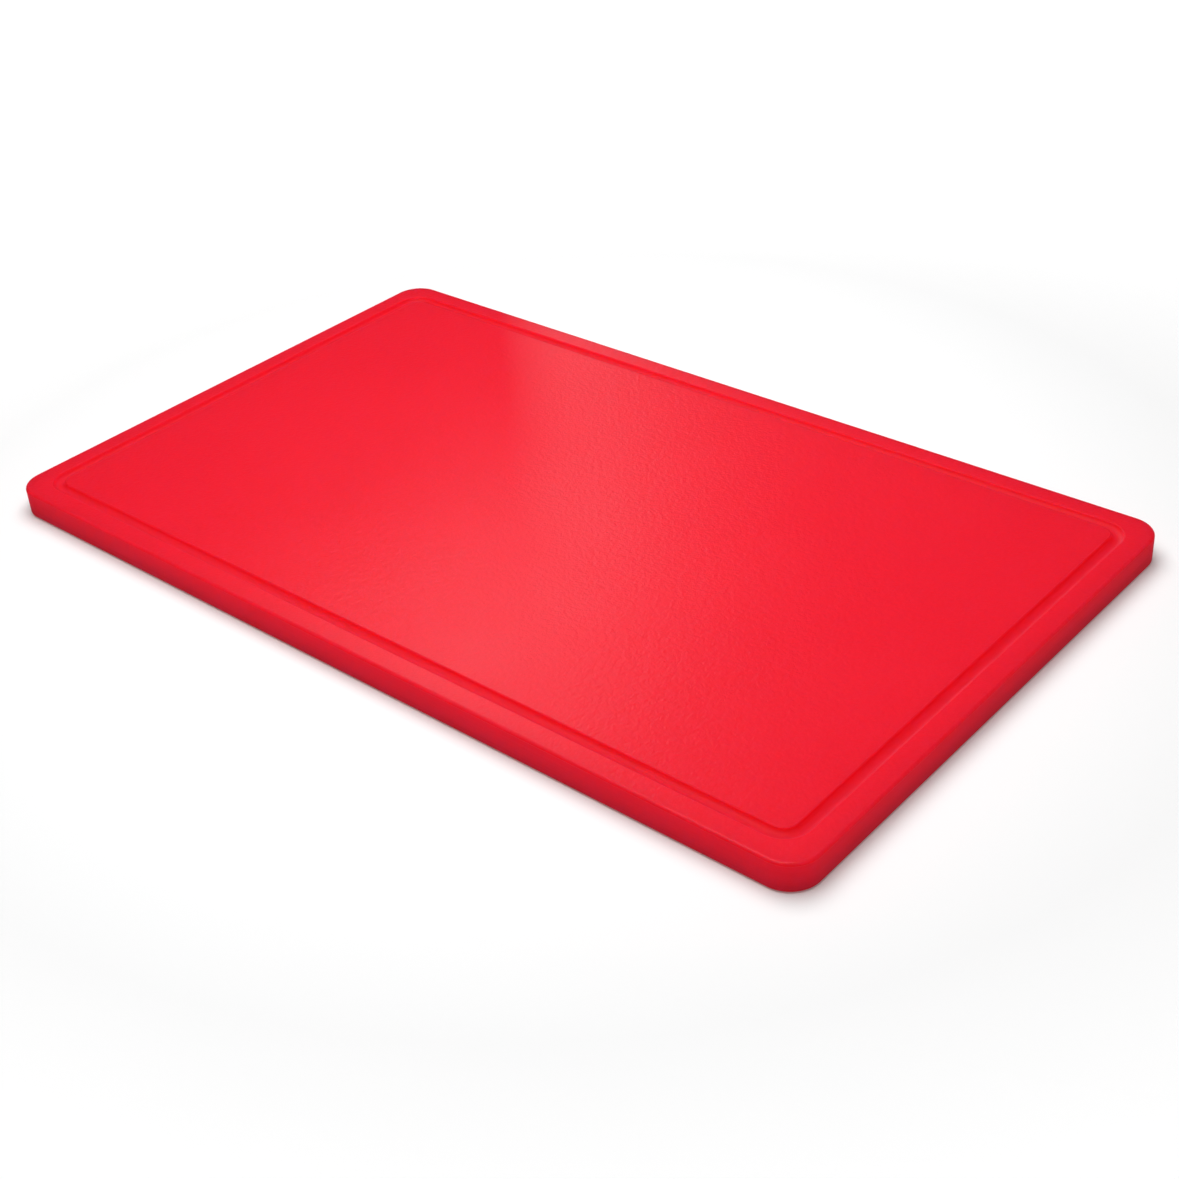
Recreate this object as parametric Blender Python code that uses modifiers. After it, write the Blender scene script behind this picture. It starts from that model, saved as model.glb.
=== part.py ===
"""A rectangular cutting board for a butcher's or deli counter.

The real board is one piece of solid high-density polyethylene: a flat slab with round
corners, eased edges and one juice groove that runs all the way round the top face.
Nothing is fastened to it and nothing on it moves, so the model is one object.

Frame: metres, +Z up, +X along the board's length. The origin is the middle of the
underside, so the board stands on the plane z = 0.
"""

from math import cos, pi, radians, sin, sqrt

import bmesh
import bpy

# Driving dimensions of the slab, in metres.
LENGTH = 0.500
WIDTH = 0.300
THICKNESS = 0.015
CORNER_RADIUS = 0.015  # of the four corners, seen from above
EDGE_RADIUS = 0.0015  # of the eased edges round both faces

# Driving dimensions of the juice groove, in metres.
GROOVE_INSET = 0.014  # from the side walls to the middle of the groove
GROOVE_CORNER_RADIUS = 0.010  # of the middle of the groove, seen from above
GROOVE_WIDTH = 0.006  # across its mouth
GROOVE_DEPTH = 0.0025  # at its lowest line

# How finely the round stretches are divided.
CORNER_STEPS = 12  # straight pieces in each corner's quarter circle
EDGE_STEPS = 4  # faces across each eased edge
CUTTER_RESOLUTION = 8  # Blender's bevel_resolution, which gives 20 sides

# Limits that keep flat faces whole and round ones smooth.
WELD_DISTANCE = 0.00001
FLAT_ANGLE = radians(1.0)
EASED_EDGE_ANGLE = radians(60.0)
SMOOTH_ANGLE = radians(30.0)

# The plastic: a strong red, dull to the touch.
BOARD_COLOUR = (0.80, 0.015, 0.030, 1.0)
BOARD_ROUGHNESS = 0.45


def clear_scene():
    """Remove every object of the file that Blender opened with."""
    for item in list(bpy.data.objects):
        bpy.data.objects.remove(item, do_unlink=True)


def new_collection(name):
    """Make a collection and hang it under the scene."""
    collection = bpy.data.collections.new(name)
    bpy.context.scene.collection.children.link(collection)
    return collection


def plastic(name):
    """The board's only material."""
    material = bpy.data.materials.new(name)
    material.use_nodes = True
    shader = material.node_tree.nodes["Principled BSDF"]
    shader.inputs["Base Color"].default_value = BOARD_COLOUR
    shader.inputs["Roughness"].default_value = BOARD_ROUGHNESS
    shader.inputs["Metallic"].default_value = 0.0
    return material


def rounded_rectangle(name, length, width, radius):
    """A closed curve in the XY plane with straight sides and quarter-circle corners.

    Every corner has two points, where its arc starts and ends. Handles of
    4/3 tan(90/4 degrees) times the radius turn the stretch between them into an arc.
    """
    handle = radius * 4.0 / 3.0 * (sqrt(2.0) - 1.0)
    curve = bpy.data.curves.new(name, "CURVE")
    curve.resolution_u = CORNER_STEPS
    curve.render_resolution_u = 0
    spline = curve.splines.new("BEZIER")
    spline.bezier_points.add(7)
    spline.use_cyclic_u = True
    for corner in range(4):
        middle_x = (length / 2 - radius) * (1 if corner in (0, 3) else -1)
        middle_y = (width / 2 - radius) * (1 if corner in (0, 1) else -1)
        for end in range(2):
            turn = pi / 2 * (corner + end)
            out_x, out_y = cos(turn), sin(turn)
            x = middle_x + radius * out_x
            y = middle_y + radius * out_y
            point = spline.bezier_points[2 * corner + end]
            point.handle_left_type = "FREE" if end else "VECTOR"
            point.handle_right_type = "VECTOR" if end else "FREE"
            point.co = (x, y, 0.0)
            if end:
                point.handle_left = (x + handle * out_y, y - handle * out_x, 0.0)
            else:
                point.handle_right = (x - handle * out_y, y + handle * out_x, 0.0)
    return curve


def mesh_object(name, curve, height, collection):
    """Turn a curve into a welded mesh object, with the curve's middle at a height."""
    source = bpy.data.objects.new(name + "_outline", curve)
    source.location.z = height
    collection.objects.link(source)
    bpy.context.view_layer.update()
    evaluated = source.evaluated_get(bpy.context.evaluated_depsgraph_get())
    mesh = bpy.data.meshes.new_from_object(evaluated)
    mesh.name = name
    placement = source.matrix_world.copy()
    bpy.data.objects.remove(source, do_unlink=True)

    cage = bmesh.new()
    cage.from_mesh(mesh)
    bmesh.ops.remove_doubles(cage, verts=cage.verts, dist=WELD_DISTANCE)
    bmesh.ops.dissolve_limit(cage, angle_limit=FLAT_ANGLE, verts=cage.verts, edges=cage.edges)
    bmesh.ops.recalc_face_normals(cage, faces=cage.faces)
    cage.to_mesh(mesh)
    cage.free()

    result = bpy.data.objects.new(name, mesh)
    result.matrix_world = placement
    collection.objects.link(result)
    return result


def groove_cutter(collection):
    """A ring-shaped tube that takes the juice groove out of the top face.

    The tube is larger than the groove is deep, so that its lowest arc has the groove's
    width where it leaves the face.
    """
    half_width = GROOVE_WIDTH / 2
    radius = (half_width ** 2 + GROOVE_DEPTH ** 2) / (2 * GROOVE_DEPTH)
    curve = rounded_rectangle(
        "groove_path",
        LENGTH - 2 * GROOVE_INSET,
        WIDTH - 2 * GROOVE_INSET,
        GROOVE_CORNER_RADIUS,
    )
    curve.dimensions = "3D"
    curve.bevel_depth = radius
    curve.bevel_resolution = CUTTER_RESOLUTION
    cutter = mesh_object("groove_cutter", curve, THICKNESS - GROOVE_DEPTH + radius, collection)
    cutter.hide_render = True
    cutter.display_type = "WIRE"
    return cutter


def board(collection, cutter):
    """The slab: its outline is extruded, its edges are eased and the groove is cut."""
    curve = rounded_rectangle("board_path", LENGTH, WIDTH, CORNER_RADIUS)
    curve.dimensions = "2D"
    curve.fill_mode = "BOTH"
    curve.extrude = THICKNESS / 2
    slab = mesh_object("board", curve, THICKNESS / 2, collection)
    slab.data.materials.append(plastic("board_plastic"))

    ease = slab.modifiers.new("eased_edges", "BEVEL")
    ease.width = EDGE_RADIUS
    ease.segments = EDGE_STEPS
    ease.limit_method = "ANGLE"
    ease.angle_limit = EASED_EDGE_ANGLE

    groove = slab.modifiers.new("juice_groove", "BOOLEAN")
    groove.operation = "DIFFERENCE"
    groove.solver = "EXACT"
    groove.object = cutter

    slab.data.shade_smooth()
    slab.data.set_sharp_from_angle(angle=SMOOTH_ANGLE)
    return slab


def main():
    clear_scene()
    parts = new_collection("cutting_board")
    cutters = new_collection("cutting_board_cutters")
    board(parts, groove_cutter(cutters))


main()
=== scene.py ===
"""The cutting board's looks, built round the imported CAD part.

The board is one slab of red high-density polyethylene. The CAD node is replaced by a
finer mesh of the same size, lofted ring by ring from the middle of the top face, through
the juice groove, over the eased edges and on to the underside. Metres, +Z up.
"""

from math import asin, cos, degrees, pi, radians, sin, sqrt

import bmesh
import bpy
from mathutils import Matrix, Vector


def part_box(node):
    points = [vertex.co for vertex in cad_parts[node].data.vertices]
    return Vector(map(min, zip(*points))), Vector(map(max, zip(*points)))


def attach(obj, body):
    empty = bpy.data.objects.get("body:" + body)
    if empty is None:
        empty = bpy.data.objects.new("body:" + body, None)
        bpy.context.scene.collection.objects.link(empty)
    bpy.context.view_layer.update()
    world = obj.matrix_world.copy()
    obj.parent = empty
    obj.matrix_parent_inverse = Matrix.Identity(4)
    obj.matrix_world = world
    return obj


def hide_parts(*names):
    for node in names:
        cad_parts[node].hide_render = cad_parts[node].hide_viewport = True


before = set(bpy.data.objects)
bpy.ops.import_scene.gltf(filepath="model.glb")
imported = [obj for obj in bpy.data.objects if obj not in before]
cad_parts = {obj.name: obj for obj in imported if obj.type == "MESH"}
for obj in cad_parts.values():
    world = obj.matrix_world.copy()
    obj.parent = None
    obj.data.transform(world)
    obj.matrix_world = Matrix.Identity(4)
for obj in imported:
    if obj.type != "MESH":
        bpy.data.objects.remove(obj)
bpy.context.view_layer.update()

# The slab's size and place come from the frame.
LOW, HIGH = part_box("board")
LENGTH = HIGH.x - LOW.x
WIDTH = HIGH.y - LOW.y
UNDERSIDE = LOW.z
TOP = HIGH.z

# The CAD part's own dimensions, in metres.
CORNER_RADIUS = 0.015
EDGE_RADIUS = 0.0015
GROOVE_INSET = 0.014
GROOVE_CORNER_RADIUS = 0.010
GROOVE_WIDTH = 0.006
GROOVE_DEPTH = 0.0025

# Finer shape than the CAD part has.
LIP_RADIUS = 0.0005  # where the groove's walls turn into the flat face
SUPPORT_GAP = 0.00015  # a ring this close to a round stretch keeps the flat one flat
CORNER_STEPS = 40  # straight pieces in each corner's quarter circle
EDGE_STEPS = 10  # rings across an eased edge
LIP_STEPS = 5  # across each of the groove's lips
GROOVE_STEPS = 20  # across the groove between its lips
SIDE_STEPS = 6  # up the flat part of a side wall
FACE_RINGS = 8  # rings across the cutting face and the underside
RIM_RINGS = 4  # rings across the flat rim outside the groove
FACE_REACH = 0.100  # how far in from the sides those rings go
SIDE_RUN = 0.008  # length of a face along a straight side
SMALLEST_CORNER = 0.002  # plan radius of the rings well inside the groove

# The mesh's layers, which tell the plastic where it is.
ZONES = ("groove", "eased", "wall")  # 1 on that stretch of the section, 0 elsewhere
LAYERS = ("inset",) + ZONES

# The plastic's linear colours.
RED = (0.870, 0.0050, 0.0240, 1.0)
DEEP_RED = (0.850, 0.0045, 0.0230, 1.0)
# PALE_RED makes the random specks, and the painted highlight on the eased edges.
PALE_RED = (0.900, 0.0090, 0.0310, 1.0)
# SAWN_AND_SHEEN_RED is the side walls' saw-line tone with a painted sheen that lifts their green and
# blue.
SAWN_AND_SHEEN_RED = (0.880, 0.0150, 0.0510, 1.0)
# MILLED_AND_SHADE_RED is painted shade in the groove, a little darker than the face.
MILLED_AND_SHADE_RED = (0.800, 0.0045, 0.0220, 1.0)

# Its noise patterns, in features per metre.
WARP_SCALE = 9.0
CLOUD_SCALE = 14.0
MOTTLE_SCALE = 330.0
STIPPLE_SCALE = 700.0
WALL_LINE_SCALE = (10.0, 10.0, 1100.0)  # long along the side walls, fine up and down them
GROOVE_LINE_SCALE = 2400.0  # across the groove
GROOVE_DRIFT_SCALE = (9.0, 9.0, 0.0)  # along the groove

# Stretches of a pattern's value, and what each stretch becomes: a share of a colour.
DYE_SPREAD = ((0.35, 0.65), (0.0, 1.0))
SPECK_SPREAD = ((0.35, 0.70), (0.0, 0.7))
# The side walls' saw lines, and the strength of their painted sheen.
SAWN_AND_SHEEN_SPREAD = ((0.3, 0.7), (0.5, 1.0))
# The groove's cutter lines, and the strength of its painted shade.
MILLED_AND_SHADE_SPREAD = ((0.3, 0.7), (0.75, 1.0))
# The painted highlight on the eased edges, patchy with the mottle.
EDGE_HIGHLIGHT_SPREAD = ((0.30, 0.70), (0.25, 0.85))

# Its gloss.
FACE_ROUGHNESS = 0.36
SATIN_SPREAD = ((0.3, 0.7), (FACE_ROUGHNESS - 0.02, FACE_ROUGHNESS + 0.02))
STIPPLE_DULLNESS = 0.06  # how much the stipple varies the roughness
SAWN_DULLNESS = 0.08  # added to the roughness on the side walls
MILLED_DULLNESS = 0.25  # added to the roughness in the groove
EASED_DULLNESS = 0.05  # added to the roughness on the eased edges

# Its relief, in metres from the lowest to the highest.
WARP_DEPTH = 0.00008
WALL_LINE_DEPTH = 0.00008
GROOVE_LINE_DEPTH = 0.00003
MOTTLE_DEPTH = 0.00016
STIPPLE_DEPTH = 0.00014

# How light goes into it.
REFRACTION = 1.5
SCATTER_DEPTH = 0.03  # how far light travels inside, in metres
SCATTER_SHARES = (1.0, 0.15, 0.15)  # of that depth, for red, green and blue

# The stage.
STAGE_RADIUS = 6.0
FLOOR_GAP = 0.0002  # between the underside and the floor
STAGE_GREY = 0.85
STAGE_ROUGHNESS = 0.9
FLOOR_GLOW = 0.12  # under and near the board
BACKDROP_GLOW = 1.0
GLOW_GROWS = (0.34, 0.95)  # distances from the middle between which the floor's glow grows

# The lights: both ends of a rectangle's middle line, the rectangle's width, and its watts.
# The first two sheens make the highlight across the face, the third a faint gloss all over.
OVERHEAD = ((-0.382, 0.373, 0.85), (0.297, -0.365, 0.85), 0.70, 10.6)
SHEENS = {
    "far_sheen": ((-1.14, 1.13, 0.61), (-0.65, 0.63, 0.344), 0.70, 11.8),
    "near_sheen": ((-0.332, 0.203, 0.391), (-0.330, 0.205, 0.400), 0.314, 0.33),
    "top_sheen": ((-0.50, -0.35, 1.1), (0.40, -0.35, 1.1), 0.9, 4.0),
}
WORLD_STRENGTH = 0.08

# The camera, in metres, degrees and millimetres.
CAMERA_AIM = Vector((0.0538, -0.0409, 0.0075))
CAMERA_DISTANCE = 0.8758
CAMERA_AZIMUTH = 42.64  # turned from -Y towards +X
CAMERA_ELEVATION = 33.61
CAMERA_ROLL = 4.04
CAMERA_LENS = 56.82
SENSOR = 36.0


# ------------------------------------------------------------------ the board's shape


def ring_points(inset, height, corner):
    """One closed ring: a rounded rectangle, inset from the side walls."""
    half_x = LENGTH / 2 - inset
    half_y = WIDTH / 2 - inset
    points = []
    for quarter in range(4):
        middle_x = (half_x - corner) * (1 if quarter in (0, 3) else -1)
        middle_y = (half_y - corner) * (1 if quarter in (0, 1) else -1)
        for step in range(CORNER_STEPS + 1):
            turn = pi / 2 * (quarter + step / CORNER_STEPS)
            points.append(Vector((middle_x + corner * cos(turn), middle_y + corner * sin(turn), height)))
    return points


def with_straight_runs(points):
    """Divide the ring's four straight sides evenly, the same number of times on every ring."""
    along = {0: round(LENGTH / SIDE_RUN), 1: round(WIDTH / SIDE_RUN)}
    result = []
    per_corner = CORNER_STEPS + 1
    for quarter in range(4):
        result += points[quarter * per_corner:(quarter + 1) * per_corner]
        start = points[(quarter + 1) * per_corner - 1]
        end = points[((quarter + 1) * per_corner) % len(points)]
        pieces = along[quarter % 2]
        result += [start.lerp(end, piece / pieces) for piece in range(1, pieces)]
    return result


def arc(centre, radius, start, end, steps):
    """Points on a circle in the section plane; the angles are in degrees from +inset."""
    turns = [radians(start + (end - start) * step / steps) for step in range(steps + 1)]
    return [(centre[0] + radius * cos(turn), centre[1] + radius * sin(turn)) for turn in turns]


def groove_section():
    """The groove from its inner lip to its outer one, as a list of (inset, height)."""
    half = GROOVE_WIDTH / 2
    radius = (half ** 2 + GROOVE_DEPTH ** 2) / (2 * GROOVE_DEPTH)
    middle_height = TOP - GROOVE_DEPTH + radius
    # A lip is a circle that touches the flat face and the groove's own circle.
    lip_height = TOP - LIP_RADIUS
    drop = middle_height - lip_height
    reach = sqrt((radius + LIP_RADIUS) ** 2 - drop ** 2)
    tilt = degrees(asin(drop / (radius + LIP_RADIUS)))
    inner = arc((GROOVE_INSET + reach, lip_height), LIP_RADIUS, 90, 180 - tilt, LIP_STEPS)
    bottom = arc((GROOVE_INSET, middle_height), radius, -tilt, tilt - 180, GROOVE_STEPS)
    outer = arc((GROOVE_INSET - reach, lip_height), LIP_RADIUS, tilt, 90, LIP_STEPS)
    return inner + bottom[1:-1] + outer


def flat_run(start, end, height, steps):
    """Rings across a flat face, from one inset to another."""
    return [(start + (end - start) * step / steps, height) for step in range(steps + 1)]


def section():
    """The whole section, from inside the top face to inside the underside.

    Each row is (inset, height, zone), and the zone says how the real one is finished there
    and where the colour paints shade, a highlight or a sheen.
    """
    groove = groove_section()
    edge_inset = EDGE_RADIUS + SUPPORT_GAP
    wall_top = TOP - edge_inset
    wall_bottom = UNDERSIDE + edge_inset
    wall_height = wall_bottom - wall_top
    wall = [(0.0, wall_top + wall_height * step / SIDE_STEPS) for step in range(SIDE_STEPS + 1)]
    stretches = [
        ("face", flat_run(FACE_REACH, groove[0][0] + SUPPORT_GAP, TOP, FACE_RINGS)),
        ("groove", groove),
        ("face", flat_run(groove[-1][0] - SUPPORT_GAP, edge_inset, TOP, RIM_RINGS)),
        ("eased", arc((EDGE_RADIUS, TOP - EDGE_RADIUS), EDGE_RADIUS, 90, 180, EDGE_STEPS)),
        ("wall", wall),
        ("eased", arc((EDGE_RADIUS, UNDERSIDE + EDGE_RADIUS), EDGE_RADIUS, 180, 270, EDGE_STEPS)),
        ("face", flat_run(edge_inset, FACE_REACH, UNDERSIDE, FACE_RINGS)),
    ]
    return [(inset, height, zone) for zone, points in stretches for inset, height in points]


def corner_radius(inset):
    """Plan radius of a ring: the board's own near the side walls, the groove's further in."""
    if inset < (GROOVE_INSET - GROOVE_WIDTH) / 2:
        return CORNER_RADIUS - inset
    return max(GROOVE_CORNER_RADIUS + GROOVE_INSET - inset, SMALLEST_CORNER)


def board_mesh():
    """Join the rings with quads, close the two ends and note each ring's inset and zone."""
    cage = bmesh.new()
    layers = {name: cage.verts.layers.float.new(name) for name in LAYERS}
    rings = []
    for inset, height, zone in section():
        points = with_straight_runs(ring_points(inset, height, corner_radius(inset)))
        ring = [cage.verts.new(point) for point in points]
        for vertex in ring:
            vertex[layers["inset"]] = inset
            if zone in ZONES:
                vertex[layers[zone]] = 1.0
        rings.append(ring)
    for inner, outer in zip(rings, rings[1:]):
        for index in range(len(inner)):
            after = (index + 1) % len(inner)
            cage.faces.new((inner[index], outer[index], outer[after], inner[after]))
    cage.faces.new(rings[0])
    cage.faces.new(reversed(rings[-1]))
    bmesh.ops.recalc_face_normals(cage, faces=cage.faces)
    for face in cage.faces:
        face.smooth = True
    mesh = bpy.data.meshes.new("board_slab")
    cage.to_mesh(mesh)
    cage.free()
    return mesh


# ------------------------------------------------------------------------ the plastic


def add_node(tree, kind, settings=None, **inputs):
    """Add a node. A keyword names an input socket, with _ for a space, or inputN for its number.

    Its value is either a constant or another node's output.
    """
    node = tree.nodes.new("ShaderNode" + kind)
    for name, value in (settings or {}).items():
        setattr(node, name, value)
    for name, value in inputs.items():
        socket = node.inputs[int(name[5:]) if name.startswith("input") else name.replace("_", " ")]
        if isinstance(value, bpy.types.NodeSocket):
            tree.links.new(value, socket)
        else:
            socket.default_value = value
    return node


def calculate(tree, operation, first, second=0.0, third=0.0):
    """A Math node's result."""
    node = add_node(tree, "Math", {"operation": operation}, input0=first, input1=second, input2=third)
    return node.outputs[0]


def noise(tree, vector, scale, detail=2.0, roughness=0.5):
    """A Noise texture's value; the scale is in features per metre."""
    node = add_node(tree, "TexNoise", Vector=vector, Scale=scale, Detail=detail, Roughness=roughness)
    return node.outputs[0]


def stretched(tree, place, scale):
    """A place in space, scaled along each axis."""
    return add_node(tree, "Mapping", Vector=place, Scale=scale).outputs[0]


def spread(tree, value, old_range, new_range):
    """Move a value from one range to another, clamped."""
    node = add_node(
        tree, "MapRange", Value=value,
        From_Min=old_range[0], From_Max=old_range[1], To_Min=new_range[0], To_Max=new_range[1],
    )
    return node.outputs[0]


def mix(tree, share, first, second):
    """A colour that passes from the first to the second."""
    node = add_node(tree, "Mix", {"data_type": "RGBA"}, input0=share, input6=first, input7=second)
    return node.outputs[2]


def bump(tree, height, depth, below=None):
    """A Bump node's normal; depth is the relief's full height in metres."""
    inputs = {"Height": height, "Distance": depth, "Strength": 1.0}
    if below:
        inputs["Normal"] = below
    return add_node(tree, "Bump", **inputs).outputs[0]


def mesh_layers(tree):
    """The mesh's layers as sockets, by name."""
    return {name: add_node(tree, "Attribute", {"attribute_name": name}).outputs["Fac"] for name in LAYERS}


def patterns(tree, inset):
    """The noise patterns that the colour, the gloss and the relief share, by name.

    The groove's lines depend on the inset, so they run along it round every corner.
    """
    place = add_node(tree, "TexCoord").outputs["Object"]
    across_groove = calculate(tree, "MULTIPLY", inset, GROOVE_LINE_SCALE)
    across_groove = add_node(tree, "CombineXYZ", X=across_groove).outputs[0]
    drift = stretched(tree, place, GROOVE_DRIFT_SCALE)
    groove_place = add_node(tree, "VectorMath", {"operation": "ADD"}, input0=across_groove, input1=drift)
    return {
        "warp": noise(tree, place, WARP_SCALE, 1.0),
        "cloud": noise(tree, place, CLOUD_SCALE, 3.0),
        "mottle": noise(tree, place, MOTTLE_SCALE, 2.0, 0.6),
        "stipple": noise(tree, place, STIPPLE_SCALE, 2.0, 0.55),
        "wall_lines": noise(tree, stretched(tree, place, WALL_LINE_SCALE), 1.0, 3.0, 0.6),
        "groove_lines": noise(tree, groove_place.outputs[0], 1.0, 2.0),
    }


def colour(tree, layers, pattern):
    """Nearly even, as dyed polyethylene is. The side walls add saw lines and a painted sheen,
    the groove cutter lines and painted shade, and the eased edges a painted highlight.
    """
    body = mix(tree, spread(tree, pattern["cloud"], *DYE_SPREAD), DEEP_RED, RED)
    speckled = mix(tree, spread(tree, pattern["stipple"], *SPECK_SPREAD), body, PALE_RED)
    # The side walls: saw lines, and a painted sheen.
    share = calculate(tree, "MULTIPLY", layers["wall"], spread(tree, pattern["wall_lines"], *SAWN_AND_SHEEN_SPREAD))
    sawn_and_sheen = mix(tree, share, speckled, SAWN_AND_SHEEN_RED)
    # The groove: cutter lines, and painted shade that darkens it.
    share = spread(tree, pattern["groove_lines"], *MILLED_AND_SHADE_SPREAD)
    milled_and_shaded = mix(tree, calculate(tree, "MULTIPLY", layers["groove"], share), sawn_and_sheen, MILLED_AND_SHADE_RED)
    # The eased edges: a painted highlight, patchy with the mottle.
    share = calculate(tree, "MULTIPLY", layers["eased"], spread(tree, pattern["mottle"], *EDGE_HIGHLIGHT_SPREAD))
    return mix(tree, share, milled_and_shaded, PALE_RED)


def dullness(tree, layers, pattern):
    """The pressed faces are satin, the cut surfaces a little duller."""
    satin = spread(tree, pattern["cloud"], *SATIN_SPREAD)
    duller = calculate(tree, "MULTIPLY_ADD", layers["wall"], SAWN_DULLNESS, satin)
    duller = calculate(tree, "MULTIPLY_ADD", layers["groove"], MILLED_DULLNESS, duller)
    duller = calculate(tree, "MULTIPLY_ADD", layers["eased"], EASED_DULLNESS, duller)
    centred = calculate(tree, "SUBTRACT", pattern["stipple"], 0.5)
    return calculate(tree, "MULTIPLY_ADD", centred, STIPPLE_DULLNESS, duller)


def relief(tree, layers, pattern):
    """The surface normal, from the largest relief to the finest."""
    uncut = calculate(tree, "SUBTRACT", 1.0, layers["groove"])
    pressed = calculate(tree, "SUBTRACT", uncut, layers["wall"])
    normal = bump(tree, pattern["warp"], WARP_DEPTH)
    for name, where, depth in (
        ("wall_lines", layers["wall"], WALL_LINE_DEPTH),
        ("groove_lines", layers["groove"], GROOVE_LINE_DEPTH),
        ("mottle", pressed, MOTTLE_DEPTH),
        ("stipple", pressed, STIPPLE_DEPTH),
    ):
        normal = bump(tree, calculate(tree, "MULTIPLY", pattern[name], where), depth, normal)
    return normal


def plastic():
    """Red polyethylene: satin, slightly translucent, pressed with a fine stipple.

    The faces carry the stipple. The side walls carry long saw and planer lines, and a
    painted sheen makes them a little paler. The groove carries the cutter's lines, and
    painted shade makes it a little darker. The eased edges carry a painted highlight.
    """
    material = bpy.data.materials.new("red_polyethylene")
    material.use_nodes = True
    tree = material.node_tree
    shader = tree.nodes["Principled BSDF"]
    layers = mesh_layers(tree)
    pattern = patterns(tree, layers["inset"])
    tree.links.new(colour(tree, layers, pattern), shader.inputs["Base Color"])
    tree.links.new(dullness(tree, layers, pattern), shader.inputs["Roughness"])
    tree.links.new(relief(tree, layers, pattern), shader.inputs["Normal"])
    shader.inputs["IOR"].default_value = REFRACTION
    shader.inputs["Subsurface Weight"].default_value = 1.0
    shader.inputs["Subsurface Radius"].default_value = SCATTER_SHARES
    shader.inputs["Subsurface Scale"].default_value = SCATTER_DEPTH
    return material


# ------------------------------------------------------------- stage, lights and camera


def pale_material(name, glow):
    """A dull pale grey that also glows white."""
    material = bpy.data.materials.new(name)
    material.use_nodes = True
    shader = material.node_tree.nodes["Principled BSDF"]
    shader.inputs["Base Color"].default_value = (STAGE_GREY, STAGE_GREY, STAGE_GREY, 1.0)
    shader.inputs["Roughness"].default_value = STAGE_ROUGHNESS
    shader.inputs["Emission Color"].default_value = (1.0, 1.0, 1.0, 1.0)
    shader.inputs["Emission Strength"].default_value = glow
    return material


def stage_floor():
    """A plain pale floor just under the board, which stays pale where the lights fall off."""
    bpy.ops.mesh.primitive_plane_add(size=2 * STAGE_RADIUS, location=(0.0, 0.0, UNDERSIDE - FLOOR_GAP))
    floor = bpy.context.object
    floor.name = "floor"
    material = pale_material("pale_floor", FLOOR_GLOW)
    tree = material.node_tree
    place = add_node(tree, "TexCoord").outputs["Object"]
    distance = add_node(tree, "VectorMath", {"operation": "LENGTH"}, input0=place).outputs["Value"]
    glow = spread(tree, distance, GLOW_GROWS, (FLOOR_GLOW, BACKDROP_GLOW))
    tree.links.new(glow, tree.nodes["Principled BSDF"].inputs["Emission Strength"])
    floor.data.materials.append(material)
    floor.visible_glossy = False


def backdrop():
    """A pale dome over the stage, which lights nothing. Its lower half is under the floor."""
    bpy.ops.mesh.primitive_uv_sphere_add(segments=64, ring_count=32, radius=STAGE_RADIUS)
    dome = bpy.context.object
    dome.name = "backdrop"
    dome.data.materials.append(pale_material("pale_backdrop", BACKDROP_GLOW))
    for rays in ("diffuse", "glossy", "transmission", "volume_scatter", "shadow"):
        setattr(dome, "visible_" + rays, False)


def area_light(name, start, end, width, power):
    """A rectangular light from start to end that leans so as to face the middle of the board."""
    start = Vector(start)
    end = Vector(end)
    middle = (start + end) / 2
    along = (end - start).normalized()
    back = (middle - along * middle.dot(along)).normalized()
    light = bpy.data.lights.new(name, "AREA")
    light.shape = "RECTANGLE"
    light.size = (end - start).length
    light.size_y = width
    light.energy = power
    lamp = bpy.data.objects.new(name, light)
    bpy.context.scene.collection.objects.link(lamp)
    turn = Matrix((along, back.cross(along), back)).transposed()
    lamp.matrix_world = Matrix.Translation(middle) @ turn.to_4x4()
    return lamp


def lights():
    """A soft overhead light, and sheens that show only as reflections on the board."""
    overhead = area_light("overhead", *OVERHEAD)
    overhead.visible_glossy = False
    for name, places in SHEENS.items():
        sheen = area_light(name, *places)
        sheen.visible_diffuse = False


def world_light(strength):
    """Even light from all round."""
    world = bpy.data.worlds.new("studio")
    world.use_nodes = True
    background = world.node_tree.nodes["Background"]
    background.inputs["Color"].default_value = (1.0, 1.0, 1.0, 1.0)
    background.inputs["Strength"].default_value = strength
    bpy.context.scene.world = world


def camera():
    """The main view, from the +X and -Y side and above."""
    back = Vector((sin(radians(CAMERA_AZIMUTH)), -cos(radians(CAMERA_AZIMUTH)), 0.0))
    back *= cos(radians(CAMERA_ELEVATION))
    back.z = sin(radians(CAMERA_ELEVATION))
    data = bpy.data.cameras.new("camera")
    data.lens = CAMERA_LENS
    data.sensor_width = SENSOR
    eye = bpy.data.objects.new("camera", data)
    bpy.context.scene.collection.objects.link(eye)
    roll = Matrix.Rotation(radians(-CAMERA_ROLL), 4, "Z")
    turn = back.to_track_quat("Z", "Y").to_matrix().to_4x4() @ roll
    eye.matrix_world = Matrix.Translation(CAMERA_AIM + back * CAMERA_DISTANCE) @ turn
    bpy.context.scene.camera = eye


# --------------------------------------------------------------------------- assembly


board = bpy.data.objects.new("board_slab", board_mesh())
bpy.context.scene.collection.objects.link(board)
board.data.materials.append(plastic())
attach(board, "root")
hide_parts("board")

camera()
stage_floor()
backdrop()
world_light(WORLD_STRENGTH)
lights()
bpy.context.scene.view_settings.view_transform = "Standard"
